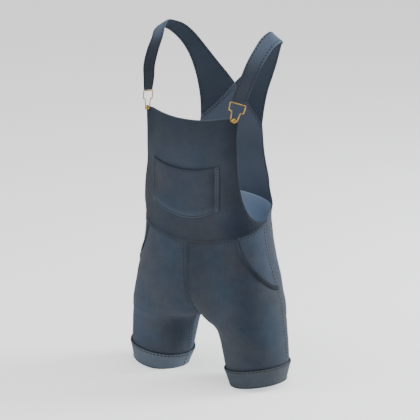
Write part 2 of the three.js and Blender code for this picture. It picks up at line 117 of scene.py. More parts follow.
# side, crest, inner: reach to the arm's side, of the foremost point, and to the mid plane
# front, back, mid: depths and their middle. seam: angle of the side seam from straight ahead
# round, innerRound, backRound: how square each quarter is, at the front outside and inside the
# crest, and at the back. fan: where the columns start on the inner side
RINGS = table(
    "z side backSide crest inner front back mid round innerRound backRound tilt seam fan",
    [-150, 190, 163, 0, -163, 92, 108, -3, 2.3, 2.3, 2.2, 0, 90, 0],
    [-196, 187, 163, 0, -163, 96, 108, -3, 2.3, 2.3, 2.2, 0, 90, 0],
    [-240, 178, 163, 0, -163, 102, 108, -3, 2.3, 2.3, 2.2, 0, 90, 0],
    [-284, 169, 163, 0, -163, 108, 107, -3, 2.3, 2.3, 2.2, 0, 90, 0],
    [-330, 166, 164, 0, -163, 110, 105, -3, 2.3, 2.3, 2.2, 0, 90, 0],
    [-365, 166, 166, 0, -163, 110, 104, -3, 2.4, 2.4, 2.2, 0, 90, 0],
    [-412, 165, 166, 0, -163, 106, 103, -3, 2.7, 2.7, 2.2, 0, 90, 0],
    [-455, 165, 165, 0, -165, 102, 103, -3, 2.7, 2.7, 2.2, 0, 90, 0],
    [-500, 170, 170, 5, -160, 98, 104, -3, 2.5, 2.5, 2.2, 0, 90, 3],
    [-550, 179, 179, 26, -125, 100, 106, -3, 2.35, 2.35, 2.2, 0, 92, 15],
    [-602, 193, 193, 56, -80, 101, 107, -4, 2.2, 2.2, 2.15, 0, 95, 31],
    [-650, 203, 203, 76, -50, 100, 105, -4, 2.15, 2.05, 2.1, 0.02, 98, 43],
    [-690, 209, 209, 95, -20, 99, 102, -5, 2.08, 1.68, 2.05, 0.04, 101, 56],
    [-706, 210, 210, 103, 0, 97, 100, -5, 2.035, 1.48, 2, 0.06, 102, 62],
    [-708, 210, 210, 104, 13, 97, 100, -5, 2.03, 1.5, 2, 0.06, 102, 63],
    [-713, 211, 211, 106.5, 27, 96, 99, -5, 2.02, 1.56, 2, 0.07, 102, 65],
    [-724, 211, 211, 112, 41, 94, 96, -4, 2, 1.62, 2, 0.08, 103, 70],
    [-743, 213, 213, 121, 51, 90, 92, -4, 2, 1.78, 2, 0.09, 105, 79],
    [-774, 216, 216, 132, 57, 84, 86, -3, 2, 1.92, 2, 0.12, 106, 88],
    [-817, 220, 220, 142, 66, 77, 77, -3, 2, 2, 2, 0.16, 107, 90],
    [-860, 214, 214, 147, 81, 67, 67, -5, 2, 2, 2, 0.167, 108, 90],
    [-880, 214, 214, 149, 85, 65, 65, -6, 2, 2, 2, 0.167, 108, 90],
)


# %% Points on the body
def ring_point(ring, angle):
    sin, cos = np.sin(angle), np.cos(angle)
    side = np.where(cos > 0, ring["side"], ring["backSide"])
    reach = np.where(sin > 0, side - ring["crest"], ring["crest"] - ring["inner"])
    depth = np.where(cos > 0, ring["front"], ring["back"])
    front_round = np.where(sin > 0, ring["round"], ring["innerRound"])
    power = np.where(cos > 0, front_round, ring["backRound"])
    radius = (np.abs(sin / reach) ** power + np.abs(cos / depth) ** power) ** (-1 / power)
    x = ring["crest"] + radius * sin
    y = ring["mid"] - radius * cos
    return np.stack([x, y, ring["z"] + ring["tilt"] * (x - ring["crest"])], axis=-1)


def mid_plane_angle(ring, outside, beyond):
    """The angle at which each ring meets the mid plane."""
    outside = np.full_like(ring["z"], outside)
    beyond = np.full_like(ring["z"], beyond)
    for _ in range(36):  # halvings
        middle = (outside + beyond) / 2
        kept = ring_point(ring, middle)[..., 0] > 0
        outside = np.where(kept, middle, outside)
        beyond = np.where(kept, beyond, middle)
    return outside


def body_point(place, z):
    """place runs from 0 at the centre front, through 1 at the side seam, to 2 at the centre back."""
    place, z = np.broadcast_arrays(np.asarray(place, float), np.asarray(z, float))
    over = z > CROTCH
    mirrored = over & ((place < 0) | (place > 2))
    place = np.where(over & (place < 0), -place, place)
    place = np.where(over & (place > 2), 4 - place, place)
    ring = read_table(RINGS, "z", z)
    ring["z"] = z
    half, whole = math.pi / 2, 1.5 * math.pi
    start = np.where(over, mid_plane_angle(ring, math.radians(20), -half), -half)
    end = np.where(over, mid_plane_angle(ring, math.radians(160), whole), whole)
    seam, fan = np.radians(ring["seam"]), np.radians(ring["fan"])
    ahead = place < 1
    evenly = np.where(ahead, mix(-fan, seam, place), mix(seam, math.pi + fan, place - 1))
    missing = np.where(ahead, start + fan, end - math.pi - fan)
    near = np.where(ahead, 1 - place, place - 1)
    point = ring_point(ring, evenly + missing * near**4)
    point[..., 0] = np.where(mirrored, -point[..., 0], point[..., 0])
    return point


def body_slopes(place, z):
    reach, rise = 0.004, 0.5
    around = (body_point(place + reach, z) - body_point(place - reach, z)) / (2 * reach)
    up = (body_point(place, z + rise) - body_point(place, z - rise)) / (2 * rise)
    return around, up


def unit(vectors):
    return vectors / np.maximum(np.linalg.norm(vectors, axis=-1, keepdims=True), 1e-9)


middle_and_side = body_point(np.array([0.0, 1.0, 2.0]), FRONT_WAIST)
print("body at the waist, centre front, side and centre back:", middle_and_side.round().tolist())

# %% [markdown]
# Cloth on a figure is never quite smooth. Two kinds of relief are added along the surface's
# normal. Folds depend only on the place in space, so panels that meet, and pieces that lie on
# them, all move together. Seams are thicker, because their turnings are folded inside. A cloth
# simulation makes folds too, but with nobody inside it would let the garment fall.

# %% Folds and seams
SEAM_HALF = 8.5  # a sewn seam with its turnings, to each side
SEAM_LIFT = 0.4
WANDER, WANDER_LENGTH = 9, 47  # how far each wave strays from a straight line, and how often
WAVE_SHIFT = 1.7
SOFT_WAVES = [
    # direction of the wave in x, y, z, its length, its height and the height it is centred on
    ((0.93, 0.35, 0.10), 96, 0.7, -760, 90),
    ((0.80, -0.55, 0.22), 71, 0.5, -740, 80),
    ((0.55, 0.30, 0.78), 64, 0.5, -640, 60),
    ((-0.50, 0.30, 0.81), 58, 0.45, -655, 55),
    ((0.96, 0.10, -0.25), 120, 0.8, -600, 80),
    ((0.35, 0.20, 0.91), 52, 0.5, -455, 45),
    ((0.75, 0.20, 0.62), 83, 0.8, -330, 80),
    ((-0.62, 0.20, 0.75), 69, 0.6, -250, 60),
    ((0.99, 0.05, 0.05), 105, 0.5, -300, 140),
]


def folds(point):
    """Soft waves in the cloth, each of them strongest near one height."""
    total = np.zeros(point.shape[:-1])
    bent = point + WANDER * np.sin(point[..., [2, 0, 1]] / WANDER_LENGTH)
    for k, (way, length, height, middle, spread) in enumerate(SOFT_WAVES):
        phase = bent @ unit(np.array(way)) / length * 2 * math.pi + WAVE_SHIFT * k
        total += height * np.sin(phase) * np.exp(-(((point[..., 2] - middle) / spread) ** 2))
    return total


def waist_height(place):
    place = np.where(place > 2, 4 - place, np.abs(place))
    to_corner = np.clip((BACK_START - place) / (BACK_START - 1), 0, 1)
    to_middle = np.clip((2 - place) / (2 - BACK_START), 0, 1)
    front = mix(FRONT_WAIST, SIDE_TOP, np.minimum(place, 1) ** WAIST_BEND)
    corner = mix(BACK_CORNER, SIDE_TOP, to_corner**1.5)
    back = mix(BACK_WAIST, BACK_CORNER, to_middle**2)
    return np.where(place <= 1, front, np.where(place < BACK_START, corner, back))


def seam_relief(place, z, around):
    """How far the turnings inside the seams lift the cloth."""
    place = np.where((z > CROTCH) & (place > 2), 4 - place, place)
    place = np.where(z > CROTCH, np.abs(place), place)
    below_waist = smooth_step(waist_height(place) - z, -1, 3)
    to_side = (1 - place) * around
    side = smooth_step(to_side, -1, 1) * (1 - smooth_step(to_side, SEAM_HALF + 2, SEAM_HALF + 5))
    to_mid = np.minimum(place, 2 - place) * around
    mid = 1 - smooth_step(to_mid, SEAM_HALF, SEAM_HALF + 3)
    to_waist = np.abs(z - waist_height(place))
    waist = 1 - smooth_step(to_waist, SEAM_HALF - 1, SEAM_HALF + 2)
    return SEAM_LIFT * np.maximum(0.7 * waist, below_waist * np.maximum(side, 0.35 * mid))


def body_spot(place, z, out=0.0, side=1):
    """A point of the clothed body, moved out, with its normal. side is -1 on the right."""
    around, up = body_slopes(place, z)
    normal = unit(np.cross(around, up))
    point = body_point(place, z)
    lift = seam_relief(place, z, np.linalg.norm(around, axis=-1)) + out
    if side < 0:
        point = point * [-1, 1, 1]
        normal = normal * [-1, 1, 1]
    lift = lift + folds(point)
    return point + normal * lift[..., None], normal


def as_place(place, z, distance):
    return distance / np.linalg.norm(body_slopes(place, z)[0], axis=-1)


print("soft waves:", len(SOFT_WAVES))

# %% [markdown]
# A panel is a grid of points on the body, given a wall of cloth. Its border is rounded, as a
# folded hem is, by two more lines of points close to the edge. A plane with Solidify and Bevel
# would do nearly the same, but here both faces keep the exact points that the seams need. The
# flat pattern is kept as a UV map in metres, so that the weave follows the cloth round the body.

# %% Lines of a grid
ROUNDED_BORDER = [0, 0.2, 1.0]


def grid_lines(length, count):
    close = np.array(ROUNDED_BORDER) / length
    middle = np.linspace(close[-1], 1 - close[-1], count)
    return np.concatenate([close[:-1], middle, 1 - close[1::-1]])


def arc(points, axis):
    steps = np.linalg.norm(np.diff(points, axis=axis), axis=-1)
    pad = [(0, 0), (0, 0)]
    pad[axis] = (1, 0)
    return np.pad(np.cumsum(steps, axis=axis), pad)


print("lines at an edge of 100 mm:", (grid_lines(100, 5) * 100).round(1).tolist())

# %% A sewn panel
cloth_sizes = {}


def panel(name, size, counts, spot, closed=False, side=1, wall=WALL, tones=None):
    """A wall of cloth. spot(u, v) gives outer points and normals, side is -1 for a mirror image.
    tones(u, v, points) gives how far the colour is made paler, partly for wear and partly as painted
    highlight, and how far it is darkened, mostly as painted shade, 0 to 1."""
    us = np.linspace(0, 1, counts[0] + 1) if closed else grid_lines(size[0], counts[0])
    vs = grid_lines(size[1], counts[1])
    u, v = np.meshgrid(us, vs)
    shape = u.shape
    points, normals = (a.reshape(*shape, 3) for a in spot(u.ravel(), v.ravel()))
    from_edge = np.minimum(v, 1 - v) * size[1]
    if not closed:
        from_edge = np.minimum(from_edge, np.minimum(u, 1 - u) * size[0])
    half = wall / 2
    inside = half - np.minimum(from_edge, half)
    depth = half - np.sqrt(half**2 - inside**2)
    outer = points - normals * depth[..., None]
    inner = points - normals * (wall - depth)[..., None]

    ids = np.arange(u.size).reshape(shape)
    inner_ids = np.where(from_edge < 1e-6, ids, ids + u.size)
    if closed:
        ids[:, -1], inner_ids[:, -1] = ids[:, 0], inner_ids[:, 0]
    grid = np.arange(u.size).reshape(shape)

    def quads(a, turn):
        corners = [a[:-1, :-1], a[:-1, 1:], a[1:, 1:], a[1:, :-1]]
        return np.stack(corners[::-1] if turn else corners, axis=-1).reshape(-1, 4)

    turned = side < 0
    faces = np.concatenate([quads(ids, turned), quads(inner_ids, not turned)])
    corners = np.concatenate([quads(grid, turned), quads(grid, not turned)])
    used, faces = np.unique(faces, return_inverse=True)
    everything = np.concatenate([outer.reshape(-1, 3), inner.reshape(-1, 3)])[used]
    mesh = bpy.data.meshes.new(name)
    mesh.from_pydata((everything * MM).tolist(), [], faces.reshape(-1, 4).tolist())
    mesh.polygons.foreach_set("use_smooth", np.ones(len(mesh.polygons), bool))

    across, along = arc(points, 1), arc(points, 0)
    middle = shape[1] // 2
    flat_u = across - across[:, middle : middle + 1]
    flat_v = np.repeat(along[:, middle : middle + 1], shape[1], axis=1)
    uv = np.stack([flat_u, flat_v], axis=-1).reshape(-1, 2) * MM
    layer = mesh.uv_layers.new(name="cut")
    layer.data.foreach_set("uv", uv[corners.ravel()].ravel().astype(np.float32))

    # The paler tone is partly wear and partly painted highlight, the darker one mostly painted
    # shade; both are kept as attributes.
    wear_and_highlight, dark = tones(u, v, points) if tones else (0 * u, 0 * u)
    is_inner = np.where(used >= u.size, 1.0, 0.0)
    painted = {"reverse": is_inner}
    for label, values in (("wear_and_highlight", wear_and_highlight), ("dark", dark)):
        painted[label] = np.tile(np.clip(values + 0 * u, 0, 1).ravel(), 2)[used]
    for label, values in painted.items():
        kept = mesh.attributes.new(label, "FLOAT", "POINT")
        kept.data.foreach_set("value", values.astype(np.float32))
    mesh.update()
    piece = bpy.data.objects.new(name, mesh)
    bpy.context.scene.collection.objects.link(piece)
    quad = points[:-1, :-1], points[:-1, 1:], points[1:, :-1]
    area = np.linalg.norm(np.cross(quad[1] - quad[0], quad[2] - quad[0]), axis=-1).sum()
    cloth_sizes[name] = (across[:, -1].max() * MM, along[-1].max() * MM, area * MM * MM)
    print(f"{name}: {cloth_sizes[name][0]:.3f} x {cloth_sizes[name][1]:.3f} m,",
          f"{cloth_sizes[name][2]:.4f} m2")
    return piece


# %% [markdown]
# The bib and the back panel both grow from the waist seam. Their rows run between a height at
# the edge and a height in the middle, and each row says how it bends between the two. Cutting
# them from the body with a Boolean would leave ragged rows, where a hem needs even ones.

# %% Rows of the bib and the back panel
HEM_WIDTH = 10
HEM_STEP = 0.5
BIB_SIZE = (290, 290)
BACK_SIZE = (330, 250)
BIB_ROWS = table(
    "reach side middle bend level",
    [1, SIDE_TOP, FRONT_WAIST, WAIST_BEND, 1],
    [0.833, -441, -485, 2.2, 1],
    [0.74, -407, -448, 2.2, 1],
    [0.699, -364, -394, 2.2, 1],
    [0.684, -330, -347, 2.2, 1],
    [0.673, -284, -296, 2, 1],
    [0.667, -237, -247, 2.1, 0.95],
    [0.685, -192.5, -205, 2.6, 0.83],
)
BACK_ROWS = table(
    "reach side middle bend level",
    [2 - BACK_START, BACK_CORNER, BACK_WAIST, 2, 1],
    [0.76, -411, -392, 2, 1],
    [0.685, -390, -362, 2, 1],
    [0.655, -368, -330, 2, 1],
    [0.587, -333, -285, 1.9, 1],
    [0.53, -290, -225, 1.5, 1],
    [0.497, -243, -151, 1, 1],
)


# %% Places on the bib and the back panel
def row_height(row, t):
    risen = np.minimum(np.abs(t) / row["level"], 1)
    return mix(row["middle"], row["side"], risen ** row["bend"])


def hem_lift(u, v, size, edges):
    """The step of a turned hem along some edges: l, r, top or foot."""
    away = {"l": u * size[0], "r": (1 - u) * size[0], "foot": v * size[1], "top": (1 - v) * size[1]}
    near = np.min([away[edge] for edge in edges], axis=0)
    return HEM_STEP * (1 - smooth_step(near, HEM_WIDTH - 1, HEM_WIDTH + 1))


def bib_place(t, v):
    row = read_rows(BIB_ROWS, v)
    z = row_height(row, t) + EDGE
    place = row["reach"] * t
    return place - t * as_place(place, z, EDGE), z


def bib_spot(u, v, out=0.0):
    place, z = bib_place(2 * u - 1, v)
    return body_spot(place, z, hem_lift(u, v, BIB_SIZE, ["l", "r", "top"]) + out)


def back_place(t, v, rise=EDGE):
    row = read_rows(BACK_ROWS, v)
    return 2 - row["reach"] * t, row_height(row, t) + rise


def back_spot(u, v, out=0.0):
    place, z = back_place(1 - 2 * u, v, EDGE * (1 - 2 * v))
    return body_spot(place, z, hem_lift(u, v, BACK_SIZE, ["l", "r"]) + out)


# %% Worn places, painted shade, and the two panels
def bib_tones(u, v, points):
    """The bib is painted darker under the chin, at its sides and near the waist, as painted shade,
    and is worn paler over the stomach and at its top edge.
    """
    x, z = points[..., 0], points[..., 2]
    top = smooth_step(z, -330, -205)
    beside = smooth_step(np.abs(x), 85, 150)
    worn = np.exp(-((x / 90) ** 2) - ((z + 300) / 90) ** 2)
    rim = 0.4 * smooth_step(v, 0.99, 0.997)
    low = smooth_step(-z, 425, 470)
    # Painted shade: darker under the chin, at the sides and near the waist.
    dark = 0.08 + 0.42 * top + 0.66 * beside + 0.2 * low
    return 0.08 * worn + rim, dark * (1 - rim)


def back_tones(u, v, points):
    """The back is painted darker between the shoulders, as painted shade, on both of its faces."""
    return 0 * u, 0.64 * smooth_step(points[..., 2], -385, -290)


bib = panel("denim_bib", BIB_SIZE, (88, 96), bib_spot, tones=bib_tones)
back = panel("denim_back", BACK_SIZE, (84, 76), back_spot, tones=back_tones)

# %% [markdown]
# The patch pocket is one more layer on the bib, so its points are the bib's own, moved out. Its
# mouth stands a little off the bib, and its turned-in sides make raised strips that catch the
# light. A bump map could fake the strips, but from the side only real ones have an outline.

# %% Pocket on the bib
POCKET_REACH = 0.495
POCKET_LAY = 0.5
POCKET_GAPE = 2.2
POCKET_TOP = (-325, -309)
POCKET_BOTTOM = (-445, -416)
POCKET_SIZE = (222, 118)


def pocket_place(u, v):
    t = 2 * u - 1
    top, bottom = mix(*POCKET_TOP, t * t), mix(*POCKET_BOTTOM, np.abs(t) ** 2.4)
    return POCKET_REACH * t, mix(bottom, top, v)


def pocket_edges(u, v):
    return np.minimum(u, 1 - u) * POCKET_SIZE[0], v * POCKET_SIZE[1]


def pocket_spot(u, v, out=0.0):
    place, z = pocket_place(u, v)
    t = 2 * u - 1
    ease = POCKET_GAPE * (1 - t * t) * v * v
    to_side, to_foot = pocket_edges(u, v)
    side_strip = 0.8 * (1 - smooth_step(to_side, 6, 12))
    foot_strip = 0.4 * (1 - smooth_step(to_foot, 6, 18))
    mouth = 0.3 * (1 - smooth_step((1 - v) * POCKET_SIZE[1], 9, 13))
    strip = np.maximum(np.maximum(side_strip, foot_strip), mouth)
    hollow = 0.5 * np.exp(-(((to_side - 15) / 5) ** 2))
    return body_spot(place, z, POCKET_LAY + WALL + ease + strip - hollow + out)


def pocket_tones(u, v, points):
    """Painted highlight makes the turned-in strip on the wearer's left paler, and the foot strip is
    worn paler. Painted shade darkens the cloth just inside that side strip and under the mouth.
    """
    to_side, to_foot = pocket_edges(u, v)
    left = np.where(u < 0.5, 0.0, 1.0)
    low = 1 - smooth_step(v, 0.2, 0.75)
    # Painted highlight on the strip at the wearer's left only; the darkening inside it and under the
    # mouth is painted shade.
    strip = left * mix(0.1, 0.22, 1 - low) * (1 - smooth_step(to_side, 5, 11))
    foot = 0.13 * low * (1 - smooth_step(to_foot, 6, 22))
    lee = 0.6 * left * smooth_step(to_side, 5, 12) * np.exp(-np.maximum(to_side - 12, 0) / 10)
    mouth = 0.3 * (1 - smooth_step((1 - v) * POCKET_SIZE[1], 1, 10))
    return np.maximum(strip, foot), np.maximum(lee, mouth) * (1 - foot)


pocket = panel("denim_bib_pocket", POCKET_SIZE, (76, 44), pocket_spot, tones=pocket_tones)

# %% [markdown]
# Each trouser leg is a front, a back, and between them at the hip the facing that shows inside
# the slanted pocket. One tube could be cut along the seams, but panels made apart are what a
# maker sews. They share their rows, so the seams meet from the waist to the hem.

# %% Rows of the trouser legs
POCKET_MOUTH = table(
    "z place",
    [-484.3, 0.678],
    [-510, 0.703],
    [-537, 0.732],
    [-557, 0.77],
    [-574, 0.814],
    [-591, 0.87],
    [-606, 0.933],
    [-614, 1],
)
TROUSER_ROWS = table(
    "front mouth side back",
    [FRONT_WAIST, -484.3, SIDE_TOP, BACK_WAIST],
    [-524, -507, -487, -460],
    [-544, -531, -519, -498],
    [-564, -554, -549, -534],
    [-583, -575, -573, -566],
    [-600, -591, -590, -586],
    [-610, -604, -604, -601],
    [-618, -610, -610, -610],
    [-625, -614.5, -614.5, -618],
    [-638, -630, -630, -634],
    [-658, -646, -646, -654],
    [-677, -662, -662, -673],
    [-690, -677, -677, -687],
    [-699, -690, -690, -698],
    [-704, -700, -700, -703.5],
    *[[z] * 4 for z in (CROTCH - 2, -711, -717, -727, -741, -758, -779, -803, -830, HEM)],
)
ROW_COUNT = len(TROUSER_ROWS["front"]) - 1
FACING_ROWS = 7.6  # it ends just above the foot of the pocket's mouth
LEG_SIZE = (220, 350)
FACING_SIZE = (62, 150)
print("rows down a trouser leg:", ROW_COUNT)


# %% Places on the trouser legs
def mouth_place(z):
    return np.minimum(read_table(POCKET_MOUTH, "z", z)["place"], 1.0)


def trouser_row(j, name):
    return np.interp(j, np.arange(ROW_COUNT + 1), TROUSER_ROWS[name])


def on_waist(j, place, z):
    """The first row follows the waist seam."""
    return np.where(j < 1, mix(waist_height(place) - EDGE, z, np.clip(j, 0, 1)), z)


def to_the_seams(place, z, u):
    """The same points, with both side edges moved by EDGE from where the seams are."""
    return place + as_place(place, z, EDGE) * (1 - 2 * u), z


def front_leg_place(u, v):
    j = (1 - v) * ROW_COUNT
    mouth = trouser_row(j, "mouth")
    place = np.where(mouth > POCKET_MOUTH["z"][-1], mouth_place(mouth), 1) * u
    z = on_waist(j, place, mix(trouser_row(j, "front"), mouth, u**WAIST_BEND))
    return to_the_seams(place, z, u)


def facing_place(u, v):
    j = (1 - v) * FACING_ROWS
    mouth = trouser_row(j, "mouth")
    place = mix(mouth_place(mouth), 1, u)
    z = on_waist(j, place, mix(mouth, trouser_row(j, "side"), u))
    return to_the_seams(place, z, u)


def back_leg_place(u, v):
    j = (1 - v) * ROW_COUNT
    place = 1 + u**1.2
    z = on_waist(j, place, mix(trouser_row(j, "side"), trouser_row(j, "back"), u))
    return to_the_seams(place, z, u)


# %% Worn places, painted light and shade, and the leg panels
def thigh_tones(side):
    """Thighs are painted paler, partly worn and partly painted light. Painted shade darkens the
    middle, beside the crotch, a crease down the left thigh and the front of the left leg.
    """
    def tones(u, v, points):
        x, z = np.abs(points[..., 0]), points[..., 2]
        middle = np.exp(-((x / 60) ** 2)) * smooth_step(z, -700, -640)
        if side < 0:
            thigh = np.exp(-(((x - 125) / 70) ** 2) - ((z + 700) / 110) ** 2)
            by_crotch = np.exp(-(((x - 66) / 24) ** 2) - ((z + 760) / 50) ** 2)
            # Painted shade beside the crotch and at the middle; the paler thigh is partly worn and
            # partly painted light.
            return 0.06 * thigh, 0.04 + 0.42 * by_crotch + 0.26 * middle
        front = 1 - smooth_step(x, 150, 205)
        worn_and_lit = np.exp(-(((x - 108) / 32) ** 2) - ((z + 665) / 70) ** 2)
        crease = np.exp(-(((x - 168 + 0.13 * (z + 700)) / 22) ** 2) - ((z + 660) / 140) ** 2)
        # Painted shade over the front, in the crease and at the middle, less of it on the worn and
        # lit thigh.
        return 0 * x, mix(0.2, 0.28, front) + 0.3 * crease + 0.32 * middle - 0.2 * worn_and_lit
    return tones


def behind_tones(side):
    return lambda u, v, points: (0 * u, 0 * u + (0.2 if side > 0 else 0))


def leg_panels(side, word):
    front = panel(f"denim_front_leg_{word}", LEG_SIZE, (64, 112),
                  lambda u, v: body_spot(*front_leg_place(u, v), side=side), side=side,
                  tones=thigh_tones(side))
    behind = panel(f"denim_back_leg_{word}", LEG_SIZE, (64, 112),
                   lambda u, v: body_spot(*back_leg_place(u, v), side=side), side=side,
                   tones=behind_tones(side))
    facing = panel(f"denim_hip_facing_{word}", FACING_SIZE, (22, 52),
                   lambda u, v: body_spot(*facing_place(u, v), side=side), side=side)
    return front, behind, facing


SIDES = {"left": 1, "right": -1}
legs = {word: leg_panels(side, word) for word, side in SIDES.items()}

# %% [markdown]
# The mouth of the hip pocket has a folded band, painted very dark as painted shade of the gaping
# pocket, and the legs end in turned-up cuffs. Both lie on the legs: their points are the legs' own
# points, moved out, so neither can sink into a fold. A cuff is a closed ring, and flares towards its
# upper edge as turned-up denim does.

# %% Hip bands and cuffs
BAND_WIDTH = 10
BAND_TOP_WIDTH = 5
BAND_WALL = 2.2
BAND_LAY = 0.8
CUFF_TOP = -815
CUFF_BOTTOM = -861.5
CUFF_DEPTH = 48
CUFF_FLARE = 2
CUFF_LAY = 0.3


def band_place(u, v):
    z = mix(POCKET_MOUTH["z"][-1], POCKET_MOUTH["z"][0] - 3, v)
    place = mouth_place(z)
    around, up = (np.linalg.norm(a, axis=-1) for a in body_slopes(place, z))
    sideways, upwards = (mouth_place(z + 1) - mouth_place(z - 1)) * around, 2 * up
    along = np.hypot(sideways, upwards)
    away = mix(BAND_WIDTH, BAND_TOP_WIDTH, v**2) * (1 - u)
    return place - upwards / along * away / around, z + sideways / along * away


def band_spot(u, v, side):
    crown = 0.5 * (4 * u * (1 - u)) ** 0.7
    return body_spot(*band_place(u, v), BAND_LAY + BAND_WALL + crown - 0.5, side)


def cuff_spot(u, v, side, out=0.0):
    rim = np.sqrt(np.clip(v, 0, 1))
    foot_hem = 0.6 * (1 - smooth_step(v * CUFF_DEPTH, 8, 10))
    top_hem = 0.5 * (1 - smooth_step((1 - v) * CUFF_DEPTH, 8, 10))
    lift = CUFF_LAY + WALL + CUFF_FLARE * rim + foot_hem + top_hem + out
    return body_spot(2 * u, mix(CUFF_BOTTOM, CUFF_TOP, v), lift, side)


def band_tones(u, v, points):
    """The band is painted paler towards its top, so that it is darkest low down, as painted shade
    where the pocket gapes.
    """
    return 0.17 * smooth_step(v, 0.3, 0.95), 0 * u


def cuff_tones(side):
    """The right cuff is made paler all round, and the left one darker."""
    wear_and_highlight, dark = (0.26, 0) if side < 0 else (0, 0.42)
    return lambda u, v, points: (0 * u + wear_and_highlight, 0 * u + dark)


bands, cuffs = {}, {}
for word, side in SIDES.items():
    bands[word] = panel(f"denim_hip_band_{word}", (BAND_WIDTH, 140), (8, 60),
                        lambda u, v: band_spot(u, v, side), side=side, wall=BAND_WALL,
                        tones=band_tones)
    cuffs[word] = panel(f"denim_cuff_{word}", (440, CUFF_DEPTH), (150, 18),
                        lambda u, v: cuff_spot(u, v, side), closed=True, side=side,
                        tones=cuff_tones(side))

# %% [markdown]
# A shoulder strap is a long flat tube of denim. It starts on the bar of the buckle, passes over
# the shoulder and widens into the slanted top edge of the back panel. A curve with a flat bevel
# keeps one width, so the strap is a grid too, with both its edges given at each section.

# %% Sections of a strap
STRAP_COLUMNS = "inX inY inZ outX outY outZ bow"
STRAP_SECTIONS = [
    [118.5, -67, -127, 154.5, -61, -136, 0],
    [125, -54, -97, 163, -50, -102, 0.5],
    [129, -34, -64, 169, -27, -68, 1],
    [134, -9, -34, 173, -3, -43, 1.5],
    [140, 9, -13, 178, 12, -29, 2],
    [146, 31, -1, 180, 32, -22, 2],
    [141, 50, -4, 176, 50, -25, 2],
    [125, 69, -14, 163, 63, -35, 2],
    [110, 87, -34, 147, 79, -57, 2],
    [93, 98, -58, 131, 91, -88, 2],
    [70, 103, -84, 117, 95, -122, 2.5],
    [45, 105, -109, 104, 94, -160, 3],
    [22, 105.5, -130, 95, 92.5, -203, 3.5],
]
STRAP_HALF_AT_BAR = 18
STRAP_SIZE = (40, 330)
WIRE = 2.6
BUCKLE_BAR = np.array([131.5, -73, -157.5])
BUCKLE_ALONG = unit(np.array([0.93, 0.3, -0.21]))
BUCKLE_DOWN = np.array([-0.209, -0.28, -0.936])
STRAP_HEM = 0.35


def plain_back_spot(u):
    """The seam on the back panel, without folds, for the left half. u is 0 at the point."""
    place, z = back_place(u, np.ones_like(u))
    around, up = body_slopes(place, z)
    normal = unit(np.cross(around, up))
    return body_point(place, z), normal


above_bar = BUCKLE_BAR - BUCKLE_DOWN * (WIRE / 2 + 0.3)
half_end = BUCKLE_ALONG * STRAP_HALF_AT_BAR
seam_ends = plain_back_spot(np.array([0.0, 1.0]))[0]
strap_table = table(
    STRAP_COLUMNS,
    [*(above_bar - half_end), *(above_bar + half_end), 0],
    *STRAP_SECTIONS,
    [*seam_ends[0], *seam_ends[1], 4],
)
print("sections of a strap:", len(strap_table["bow"]))


# %% Points on a strap
def strap_face(u, v):
    row = read_rows(strap_table, v)
    inner = np.stack([row["inX"], row["inY"], row["inZ"]], axis=-1)
    outer = np.stack([row["outX"], row["outY"], row["outZ"]], axis=-1)
    point = mix(inner, outer, u[..., None])
    bow = row["bow"] * 4 * u * (1 - u)
    behind = smooth_step(v, 0.6, 0.9)
    point = point + np.stack([0 * bow, bow * behind, bow * (1 - behind)], axis=-1)
    seam = plain_back_spot(np.clip(u, 0, 1))[0]
    return mix(point, seam, smooth_step(v, 0.97, 1)[..., None])


def strap_spot(u, v, side=1, out=0.0):
    across = strap_face(u + 0.01, v) - strap_face(u - 0.01, v)
    along = strap_face(u, np.minimum(v + 0.004, 1)) - strap_face(u, np.maximum(v - 0.004, 0))
    normal = unit(np.cross(across, along))
    seam_normal = plain_back_spot(np.clip(u, 0, 1))[1]
    normal = unit(mix(normal, seam_normal, smooth_step(v, 0.95, 1)[..., None]))
    width = np.linalg.norm(across, axis=-1) / 0.02
    hem = STRAP_HEM * (1 - smooth_step(np.minimum(u, 1 - u) * width, 7, 9))
    wave = 0.5 * np.sin(v * 21 + side) * np.sin(math.pi * u) * np.sin(math.pi * v)
    lift = WALL / 2 * (1 - smooth_step(v, 0, 0.1)) + hem + wave + out
    point = strap_face(u, v) + normal * lift[..., None]
    fold_share = smooth_step(v, 0.7, 1)
    point[..., 0] = np.maximum(point[..., 0], 0.3)
    if side < 0:
        point, normal = point * [-1, 1, 1], normal * [-1, 1, 1]
    return point + normal * (folds(point) * fold_share)[..., None], normal


# %% The two straps
def strap_tones(side):
    """A strap is painted paler over the shoulder, as painted highlight from above, and darker down
    the chest, as painted shade, on the right more than the left.
    """
    def tones(u, v, points):
        y, z = points[..., 1], points[..., 2]
        crest = smooth_step(z, -95, -20)
        chest = smooth_step(-y, -15, 30) * (0.8 if side < 0 else 0.05)
        return 0.55 * crest * (1 - chest), chest
    return tones


straps = {
    word: panel(f"denim_strap_{word}", STRAP_SIZE, (22, 150),
                lambda u, v: strap_spot(u, v, side), side=side, tones=strap_tones(side))
    for word, side in SIDES.items()
}

# %% [markdown]
# Denim is woven with dark warp threads over pale weft, in slanting twill lines, and washing
# leaves it mottled. A scanned picture could be wrapped round, but it would repeat and stretch.
# The twill is a wave turned on the cut's own UV map. The mottling is noise at three sizes. Where
# it is made paler, for wear and as painted highlight, where it is darkened as painted shade, and
# which face is the reverse come from the panels.

# %% Small helpers for materials
def named(tree, kind, place, **values):
    node = tree.nodes.new(kind)
    node.location = place
    for key, value in values.items():
        setattr(node, key, value)
    return node


def set_inputs(node, **values):
    for key, value in values.items():
        node.inputs[key.replace("_", " ")].default_value = value


def srgb(r, g, b):
    """A colour as a painter reads it, 0 to 255, as the linear values a shader wants."""
    return tuple(((c / 255 + 0.055) / 1.055) ** 2.4 for c in (r, g, b)) + (1.0,)


